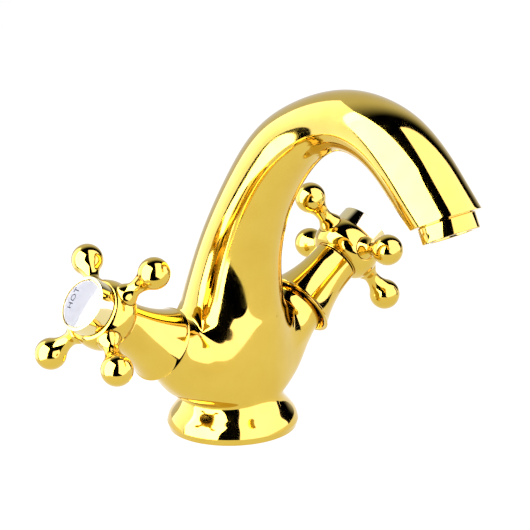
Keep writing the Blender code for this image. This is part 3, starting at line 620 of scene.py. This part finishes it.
def grow_arm(piece, size, rings, place, side):
    """Open the trunk's flank, bridge it to a ring on the valve's axis, and draw that out to the arm's end."""
    low, high = rings[TRUNK_ROW][0].z, rings[TRUNK_ROW + ARM_ROWS][0].z

    def on_flank(corners):
        middle = sum(corners, Vector()) / len(corners)
        return low < middle.z < high and middle.x * side > abs(middle.y)

    edit(piece)
    choose(piece, "FACE", on_flank)
    bpy.ops.mesh.delete(type="FACE")
    end = -size.arm_end_depth
    root = end - size.arm_length
    ring = place @ Matrix.Translation((0, 0, root)) @ Matrix.Rotation(pi / COLUMNS, 4, "Z")
    bpy.ops.mesh.primitive_circle_add(vertices=COLUMNS, radius=size.arm_root_radius / ROUND,
                                      location=ring.translation, rotation=ring.to_euler())
    open_border()
    bpy.ops.mesh.bridge_edge_loops()
    radius = size.arm_root_radius
    axis = place.to_3x3() @ Vector((0, 0, 1))
    for depth in (end - size.arm_collar, end):
        open_border()
        centre = place @ Vector((0, 0, depth))
        bpy.ops.mesh.extrude_region_move(TRANSFORM_OT_translate={"value": axis * (depth - root)})
        ratio = size.arm_end_radius / radius
        bpy.ops.transform.resize(value=(ratio, ratio, ratio), center_override=centre)
        radius, root = size.arm_end_radius, depth
    bpy.ops.mesh.edge_face_add()
    done()


def crease_rims(piece, rims):
    """Crease the edges that lie in the planes of the rims, so that the smooth skin keeps a corner there."""

    def on_rim(corners):
        return any(all(abs((rim.inverted() @ corner).z) < 10 * WELD for corner in corners) for rim in rims)

    edit(piece)
    choose(piece, "EDGE", on_rim)
    bpy.ops.transform.edge_crease(value=1)
    bpy.ops.mesh.select_mode(type="VERT")
    close_up()
    done()


class MIXER_OT_casting(Operator):
    """Body and spout: one brass casting with a foot, a trunk, two arms for the valves and a swan neck"""

    bl_idname = "mixer.casting"
    bl_label = "Cast body and spout"

    def execute(self, context):
        size = context.scene.mixer_casting
        rings = control_rings(size)
        piece = cage_column(rings)
        piece.name = "cast_body"
        rims = [Matrix(), Matrix.Translation((0, 0, size.foot_band)), mouth_place(size)]
        for word, side in SIDES.items():
            place = valve_place(word)
            grow_arm(piece, size, rings, place, side)
            rims.append(place @ Matrix.Translation((0, 0, -size.arm_end_depth)))
        crease_rims(piece, rims)
        apply_modifier(piece, "SUBSURF", levels=4, render_levels=4)
        apply_modifier(piece, "BEVEL", width=size.edge, segments=3, limit_method="ANGLE",
                       angle_limit=radians(40))
        self.drill_ways(piece, size)
        finish(piece, buffed_gold_plate(), BODY, "polished_gold_plate", "mixer_body")
        return {"FINISHED"}

    def drill_ways(self, piece, size):
        """Valve sockets, supply inlets, fixing-stud hole, gasket groove and the aerator's socket."""
        over = 2 * MM  # how far a cutter stands out of the metal
        socket_depth = 20 * MM
        washer_seat = 1.8 * MM  # width of the seat that the headwork's washer lies on
        inlet_radius, inlet_height, inlet_offset = 4.5 * MM, 26 * MM, 9 * MM
        stud_radius, stud_height, stud_offset = 3.4 * MM, 16 * MM, 14.5 * MM
        groove_inner, groove_outer, groove_depth = 21.2 * MM, 25.3 * MM, 1.9 * MM
        cutters = []
        for word, side in SIDES.items():
            place = valve_place(word)
            bore = span(word + "_headwork_washer", place)[2] - washer_seat
            end = -size.arm_end_depth
            cutters.append(drill(bore, end - socket_depth, end + over, place))
            inlet = Matrix.Translation((side * inlet_offset, 0, 0))
            cutters.append(drill(inlet_radius, -over, inlet_height, inlet))
        cutters.append(drill(stud_radius, -over, stud_height, Matrix.Translation((0, stud_offset, 0))))
        cutters.append(turn("groove", [(groove_outer, -over), (groove_outer, groove_depth),
                                       (groove_inner, groove_depth), (groove_inner, -over)]))
        mouth = mouth_place(size)
        low, _, radius = span("aerator_washer", mouth)
        cutters.append(drill(radius + GAP, low - GAP, over, mouth, TURNS))
        cut(piece, cutters)


class MIXER_OT_aerator(Operator):
    """Aerator housing: a turned ring screwed into the mouth, with two wrench flats"""

    bl_idname = "mixer.aerator"
    bl_label = "Aerator housing"

    def execute(self, context):
        size = context.scene.mixer_trim
        mouth = mouth_place(context.scene.mixer_casting)
        low, high, radius = span("aerator_housing", mouth)
        thread = span("aerator_washer", mouth)[2]
        bore = span("aerator_insert", mouth)[2] + GAP
        lip_width, lip_height = 1.0 * MM, 1.3 * MM
        corner, edge = 0.2 * MM, 0.4 * MM
        lip, ledge = bore - lip_width, high - lip_height
        outline = [(thread, low), (thread, GAP), (radius - corner, GAP)]
        outline += arc(radius - corner, GAP + corner, corner, -90, 0, 3)
        outline += arc(radius - edge, high - edge, edge, 0, 90)
        outline += arc(lip + edge, high - edge, edge, 90, 180)
        outline += [(lip, ledge), (bore, ledge), (bore, low)]
        piece = turn("aerator_ring", outline, FINE_TURNS)
        depth, width, height = 4 * MM, 12 * MM, 3.8 * MM
        flat_height = high - 1.6 * MM
        for side in (-1, 1):
            bpy.ops.object.select_all(action="DESELECT")
            bpy.ops.mesh.primitive_cube_add(size=1)
            block = bpy.context.object
            middle = Matrix.Translation((side * (size.flats + depth) / 2, 0, flat_height))
            block.data.transform(middle @ Matrix.Diagonal((depth, width, height, 1)))
            cut(piece, [block])
        set_down(piece, mouth)
        finish(piece, buffed_gold_plate(), BODY, "polished_gold_plate", "aerator_housing")
        return {"FINISHED"}


class MIXER_OT_valve_covers(Operator):
    """Valve covers: trumpets that flare from the handle to a rounded rim over the casting's arm"""

    bl_idname = "mixer.valve_covers"
    bl_label = "Valve covers"

    def execute(self, context):
        size = context.scene.mixer_trim
        low, high, rim = span("hot_valve_cover", valve_place("hot"))
        points = in_axes("hot_valve_cover", valve_place("hot"))
        radii = np.hypot(points[:, 0], points[:, 1])
        at_tip = points[:, 2] > high - GAP / 2
        tip, hole = radii[at_tip].max(), radii[at_tip].min()
        fall = high - low
        tip_edge, rim_edge, lip_edge = 0.4 * MM, 0.5 * MM, 0.3 * MM
        outline = arc(tip - tip_edge, high - tip_edge, tip_edge, 90, 0)
        steps = 28
        for i in range(1, steps + 1):
            share = i / steps * (1 - size.cover_rim / fall)
            outline.append((tip + (rim - tip) * share ** size.cover_flare, high - fall * share))
        lip = rim - size.cover_wall
        outline += arc(rim - rim_edge, low + rim_edge, rim_edge, 0, -90)
        outline += arc(lip + lip_edge, low + lip_edge, lip_edge, -90, -180)
        throat, funnel_start, funnel_height = 12.2 * MM, low + 0.6 * MM, 8.4 * MM
        for share in (0.3, 0.6, 0.85, 1.0):
            outline.append((lip + (throat - lip) * share ** 0.6, funnel_start + funnel_height * share))
        chamber, tip_wall, clip_room, face = high - 9 * MM, 0.8 * MM, 7.7 * MM, high - 1.6 * MM
        outline += [(tip - tip_wall, chamber), (clip_room, chamber), (clip_room, face)]
        outline += [(hole, face), (hole, high)]
        pattern = turn("cover", outline)
        for word in SIDES:
            piece = copy_piece(pattern, word + "_cover_trumpet")
            set_down(piece, valve_place(word))
            finish(piece, buffed_gold_plate(), BODY, "polished_gold_plate", word + "_valve_cover")
        bpy.data.objects.remove(pattern)
        return {"FINISHED"}


def arm_angle(word, number):
    """Where a handle's arm stands round the valve's axis."""
    points = in_axes(word + "_arm_" + str(number), valve_place(word))
    middle = (points.min(0) + points.max(0)) / 2
    return atan2(middle[1], middle[0])


def arm_place(word, number):
    """Stands on the handle's centre in the valve's axes, with Z out along an arm."""
    angle = arm_angle(word, number)
    return aim((0, 0, 0), (cos(angle), sin(angle), 0))


class MIXER_OT_hubs(Operator):
    """Handle hubs: onion shapes with a seat for each arm and a plug in front for the index ring"""

    bl_idname = "mixer.hubs"
    bl_label = "Handle hubs"

    def execute(self, context):
        size = context.scene.mixer_trim
        place = valve_place("hot")
        low, high, wide = span("hot_hub", place)
        back, _, ring = span("hot_index_ring", place)
        plane, behind = -size.hub_plane, size.hub_back_radius
        shoulder = back - GAP
        spindle_bore, edge = 3.9 * MM, 0.3 * MM
        outline = [(spindle_bore, low)] + arc(behind - edge, low + edge, edge, -90, -10, 4)
        steps = 18
        for i in range(2, steps + 1):
            angle = pi / 2 * i / steps
            outline.append((behind + (wide - behind) * sin(angle), low + (plane - low) * (1 - cos(angle))))
        for i in range(1, steps):
            angle = pi / 2 * i / steps
            outline.append((ring + (wide - ring) * cos(angle), plane + (shoulder - plane) * sin(angle)))
        plug, head_room, screw_hole = 10 * MM, 4.5 * MM, 2.2 * MM
        head_seat, spindle_end = 1.3 * MM, -0.6 * MM
        outline += [(ring - 0.2 * MM, shoulder), (plug, shoulder), (plug, high), (head_room, high)]
        outline += [(head_room, head_seat), (screw_hole, head_seat), (screw_hole, spindle_end)]
        outline.append((spindle_bore, spindle_end))
        pattern = turn("hub", outline, 120)
        arm_seat, stud_hole, stud_depth, clear = 13.6 * MM, 2.5 * MM, 4.5 * MM, 30 * MM
        for word in SIDES:
            piece = copy_piece(pattern, word + "_handle_hub")
            holes = []
            for number in (1, 2, 3, 4):
                arm = arm_place(word, number)
                holes.append(drill(stud_hole, arm_seat - stud_depth, clear, arm, 24))
                holes.append(drill(size.collar_radius + GAP, arm_seat - GAP, clear, arm, 64))
            cut(piece, holes)
            set_down(piece, valve_place(word))
            finish(piece, buffed_gold_plate(), word + "_handle", "polished_gold_plate", word + "_hub")
        bpy.data.objects.remove(pattern)
        return {"FINISHED"}


class MIXER_OT_arms(Operator):
    """Handle arms: a collar on the hub, a waisted neck and a ball"""

    bl_idname = "mixer.arms"
    bl_label = "Handle arms"

    def execute(self, context):
        size = context.scene.mixer_trim
        place = valve_place("hot") @ arm_place("hot", 1)
        stud, tip, ball = span("hot_arm_1", place)
        stud_length, stud_radius, edge = 4.2 * MM, 2.2 * MM, 0.35 * MM
        seat, middle = stud + stud_length, tip - ball
        neck = seat + (middle - ball - seat) * size.neck_share
        collar, thin = size.collar_radius, size.neck_radius
        outline = [(0, stud), (stud_radius, stud), (stud_radius, seat)]
        outline += arc(collar - edge, seat + edge, edge, -90, 0, 4)
        steps = 14
        for i in range(1, steps + 1):
            share = i / steps
            outline.append((thin + (collar - thin) * (1 + cos(pi * share ** 0.9)) / 2,
                            seat + edge + (neck - seat - edge) * share))
        # the neck runs into the ball by an arc that touches both
        run = middle - neck
        fillet = (run ** 2 + thin ** 2 - ball ** 2) / (2 * (ball - thin))
        meet = acos(run / (fillet + ball))
        steps = 8
        for i in range(1, steps + 1):
            angle = (pi / 2 - meet) * i / steps
            outline.append((thin + fillet * (1 - cos(angle)), neck + fillet * sin(angle)))
        steps = 22
        for i in range(1, steps):
            angle = meet + (pi - meet) * i / steps
            outline.append((ball * sin(angle), middle - ball * cos(angle)))
        outline.append((0, tip))
        pattern = turn("arm", outline, 64)
        for word in SIDES:
            for number in (1, 2, 3, 4):
                piece = copy_piece(pattern, word + "_handle_arm_" + str(number))
                set_down(piece, valve_place(word) @ arm_place(word, number))
                finish(piece, buffed_gold_plate(), word + "_handle", "polished_gold_plate",
                       word + "_arm_" + str(number))
        bpy.data.objects.remove(pattern)
        return {"FINISHED"}


class MIXER_OT_index_rings(Operator):
    """Index rings: turned caps with a flat bezel round the porcelain"""

    bl_idname = "mixer.index_rings"
    bl_label = "Index rings"

    def execute(self, context):
        size = context.scene.mixer_trim
        place = valve_place("hot")
        low, high, wide = span("hot_index_ring", place)
        bore = wide - size.bezel
        chamfer, edge, inner_edge = 0.15 * MM, 0.35 * MM, 0.3 * MM
        shelf, under_shelf = 10.7 * MM, 9.7 * MM  # heights of the shelf that the disc rests on
        shelf_hole, skirt = 7.5 * MM, 10.3 * MM
        outline = [(wide - chamfer, low), (wide, low + chamfer)]
        outline += arc(wide - edge, high - edge, edge, 0, 90)
        outline += arc(bore + inner_edge, high - inner_edge, inner_edge, 90, 180)
        outline += [(bore, shelf), (shelf_hole, shelf), (shelf_hole, under_shelf), (skirt, under_shelf),
                    (skirt, low)]
        pattern = turn("ring", outline, FINE_TURNS)
        for word in SIDES:
            piece = copy_piece(pattern, word + "_cap_ring")
            set_down(piece, valve_place(word))
            finish(piece, buffed_pale_gold(), word + "_handle", "pale_gold_plate", word + "_index_ring")
        bpy.data.objects.remove(pattern)
        return {"FINISHED"}


class MIXER_OT_index_discs(Operator):
    """Index discs: domed porcelain buttons with a plain word fired on"""

    bl_idname = "mixer.index_discs"
    bl_label = "Index discs and words"

    def execute(self, context):
        size = context.scene.mixer_trim
        place = valve_place("hot")
        low, high, wide = span("hot_index_disc", place)
        chamfer, edge = 0.1 * MM, 0.2 * MM
        outline = [(0, low), (wide - chamfer, low), (wide, low + chamfer)]
        rim = high - size.crown
        outline += arc(wide - edge, rim - edge, edge, 0, 80, 4)
        steps = 16
        for i in range(1, steps + 1):
            share = (1 - edge / wide) * (1 - i / steps)
            outline.append((wide * share, high - size.crown * share ** 2))
        pattern = turn("disc", outline, FINE_TURNS)
        for word in SIDES:
            piece = copy_piece(pattern, word + "_porcelain_disc")
            letters = self.letters(word, size, piece, high)
            for made, material in ((piece, glazed_porcelain()), (letters, fired_ink())):
                set_down(made, valve_place(word))
                nodes = [word + "_index_disc"] if made is piece else []
                finish(made, material, word + "_handle", "white_porcelain", *nodes)
        bpy.data.objects.remove(pattern)
        return {"FINISHED"}

    def letters(self, word, size, disc, high):
        """The word as a thin skin that follows the dome, near its edge with the letters' tops outwards."""
        bpy.ops.object.select_all(action="DESELECT")
        bpy.ops.object.text_add()
        text = bpy.context.object
        text.data.body = word.upper()
        text.data.size = size.letter
        text.data.align_x = "CENTER"
        text.data.align_y = "CENTER"
        text.data.space_character = 1.15
        bpy.ops.object.convert(target="MESH")
        piece = bpy.context.object
        piece.name = word + "_fired_word"
        aside, above, proud, thick = 1 * MM, 1 * MM, 0.03 * MM, 0.05 * MM
        place = Matrix.Translation((-size.letter_out, aside, high + above))
        set_down(piece, place @ Matrix.Rotation(pi / 2, 4, "Z"))
        apply_modifier(piece, "SHRINKWRAP", target=disc, wrap_method="PROJECT", use_project_z=True,
                       use_negative_direction=True, use_positive_direction=False, offset=proud)
        apply_modifier(piece, "SOLIDIFY", thickness=thick, offset=-1)
        edit(piece)
        close_up()
        done()
        return piece


class MIXER_OT_inner_parts(Operator):
    """Valve inserts, seals, clips, screws and the strainer: CAD shapes in their own finishes"""

    bl_idname = "mixer.inner_parts"
    bl_label = "Inner parts"

    def execute(self, context):
        in_each_valve = {
            satin_turned_brass: ("headwork", "spindle"),
            moulded_rubber: ("headwork_washer", "seat_seal", "spindle_oring"),
            lapped_alumina: ("fixed_disc", "moving_disc"),
            headed_stainless_steel: ("retaining_clip", "handle_screw"),
        }
        dressed = {"base_gasket": moulded_rubber, "aerator_washer": moulded_rubber,
                   "aerator_insert": moulded_acetal}
        for make, parts in in_each_valve.items():
            dressed.update({word + "_" + part: make for word in SIDES for part in parts})
        for node, make in dressed.items():
            mesh = frame["nodes"][node].data
            mesh.materials.clear()
            mesh.materials.append(make())
        return {"FINISHED"}


def towards(turned, raised):
    """Direction seen from the mixer: degrees round from the camera's own bearing, and degrees above level."""
    bearing, rise = radians(CAMERA_BEARING + turned), radians(raised)
    return Vector((cos(rise) * cos(bearing), cos(rise) * sin(bearing), sin(rise)))


class MIXER_OT_stage(Operator):
    """Lit table, soft boxes with a dark gap between them, a reflector, a black card, backdrop and camera"""

    bl_idname = "mixer.stage"
    bl_label = "Studio"

    def execute(self, context):
        self.table()
        self.soft_box("left_box", towards(-57, 20), (-0.075, -0.46), (1.01, 2.07), 0, 7.0, (1, 1, 1))
        self.soft_box("reflector", towards(-115, 10), (0, -0.25), (0.56, 1.65), 0, 1.3, (1, 1.06, 1.6))
        self.soft_box("right_box", towards(66, 40), (-0.02, -0.78), (2.2, 2.2), pi / 4, 2.0, (1, 0.94, 1.5))
        self.flag("right_flag", towards(113, 0), 0.3, (0.045, 0.17), 0.085)
        self.world(context.scene, towards(-160, 10))
        self.camera(context.scene)
        return {"FINISHED"}

    def table(self):
        bpy.ops.object.select_all(action="DESELECT")
        bpy.ops.mesh.primitive_plane_add(size=1)
        top = bpy.context.object
        top.name = "lit_table"
        # its edges run along and across the camera's bearing, and it lies a hair below the foot
        square = Matrix.Rotation(radians(CAMERA_BEARING), 4, "Z")
        middle = Matrix.Translation((-0.66, 0.62, -0.2 * MM))
        set_down(top, square @ middle @ Matrix.Diagonal((1.68, 1.56, 1, 1)))
        top.data.materials.append(opal_acrylic())

    def soft_box(self, name, direction, offset, size, roll, radiance, tint):
        """A rectangular light square to a direction, shifted sideways and up in its own plane, facing back.

        It is two lamps: one is the bright, tinted face that polished metal mirrors, and the other is white
        and lights matt surfaces.
        """
        turned = (-direction).to_track_quat("-Z", "Y").to_matrix().to_4x4()
        place = Matrix.Translation(MIDDLE + direction * LAMP_DISTANCE) @ turned
        place = place @ Matrix.Translation((*offset, 0)) @ Matrix.Rotation(roll, 4, "Z")
        for use in ("mirrored", "lighting"):
            bpy.ops.object.select_all(action="DESELECT")
            bpy.ops.object.light_add(type="AREA")
            light = bpy.context.object
            light.name = name + "_" + use
            light.matrix_world = place
            light.data.shape = "RECTANGLE"
            light.data.size, light.data.size_y = size
            light.data.energy = radiance * 4 * size[0] * size[1]
            light.data.color = tint if use == "mirrored" else (1, 1, 1)
            light.visible_camera = False
            light.visible_glossy = use == "mirrored"
            light.visible_diffuse = use == "lighting"

    def flag(self, name, direction, distance, size, height):
        """A small black card that only the polished metal sees, to draw a dark edge in it."""
        centre = FOOT_FRONT + direction * distance
        bpy.ops.object.select_all(action="DESELECT")
        bpy.ops.mesh.primitive_plane_add(size=1)
        card = bpy.context.object
        card.name = name
        upright = direction.to_track_quat("Z", "Y").to_matrix().to_4x4()
        place = Matrix.Translation((centre.x, centre.y, height)) @ upright
        set_down(card, place @ Matrix.Diagonal((*size, 1, 1)))
        card.data.materials.append(black_felt())
        card.visible_camera = card.visible_diffuse = card.visible_shadow = False

    def world(self, scene, backdrop):
        """White for the camera; for all other rays a pale backdrop to one side in a dark studio."""
        world = bpy.data.worlds.new("dark_studio")
        scene.world = world
        world.use_nodes = True
        tree = world.node_tree
        tree.nodes.clear()
        place = add(tree, "ShaderNodeTexCoord")
        along = add(tree, "ShaderNodeVectorMath", {"operation": "DOT_PRODUCT"}, {0: (place, "Generated")})
        along.inputs[1].default_value = backdrop
        fading = {"interpolation_type": "SMOOTHSTEP", "From Min": 0.42, "From Max": 0.78,
                  "To Min": 0, "To Max": 0.76}
        fade = add(tree, "ShaderNodeMapRange", fading, {"Value": (along, "Value")})
        dark = add(tree, "ShaderNodeBackground", {"Color": (1, 1.03, 1.2, 1)}, {"Strength": (fade, "Result")})
        pale = add(tree, "ShaderNodeBackground", {"Color": (1, 1, 1, 1), "Strength": 1.0})
        ray = add(tree, "ShaderNodeLightPath")
        mix = add(tree, "ShaderNodeMixShader",
                  links={0: (ray, "Is Camera Ray"), 1: (dark, "Background"), 2: (pale, "Background")})
        add(tree, "ShaderNodeOutputWorld", links={"Surface": (mix, "Shader")})

    def camera(self, scene):
        eye = (-0.702561, -0.834823, 0.405409)
        right = Vector((0.7521538, -0.65872223, -0.01869959))
        up = Vector((0.20633088, 0.20845719, 0.95601944))
        bpy.ops.object.camera_add(location=eye)
        camera = bpy.context.object
        camera.rotation_mode = "QUATERNION"
        camera.rotation_quaternion = Matrix((right, up, right.cross(up))).transposed().to_quaternion()
        camera.data.sensor_width = 36
        camera.data.lens = 182.15
        camera.data.clip_start = 0.05
        scene.camera = camera
        scene.view_settings.view_transform = "Standard"


STEPS = (MIXER_OT_casting, MIXER_OT_aerator, MIXER_OT_valve_covers, MIXER_OT_hubs, MIXER_OT_arms,
         MIXER_OT_index_rings, MIXER_OT_index_discs, MIXER_OT_inner_parts, MIXER_OT_stage)


class MIXER_PT_panel(Panel):
    """Lists the mixer's pieces in the order they are made"""

    bl_idname = "MIXER_PT_panel"
    bl_label = "Basin Mixer"
    bl_space_type = "VIEW_3D"
    bl_region_type = "UI"
    bl_category = "Mixer"

    def draw(self, context):
        for group in (context.scene.mixer_casting, context.scene.mixer_trim, context.scene.mixer_finishes):
            for name in group.__annotations__:
                self.layout.prop(group, name)
        for step in STEPS:
            self.layout.operator(step.bl_idname)


CLASSES = (CastingSizes, TrimSizes, Finishes, *STEPS, MIXER_PT_panel)


def register():
    for made in CLASSES:
        bpy.utils.register_class(made)
    bpy.types.Scene.mixer_casting = PointerProperty(type=CastingSizes)
    bpy.types.Scene.mixer_trim = PointerProperty(type=TrimSizes)
    bpy.types.Scene.mixer_finishes = PointerProperty(type=Finishes)


def unregister():
    del bpy.types.Scene.mixer_finishes
    del bpy.types.Scene.mixer_trim
    del bpy.types.Scene.mixer_casting
    for made in reversed(CLASSES):
        bpy.utils.unregister_class(made)


def main():
    register()
    for step in STEPS:
        group, name = step.bl_idname.split(".")
        getattr(getattr(bpy.ops, group), name)()


if __name__ == "__main__":
    main()
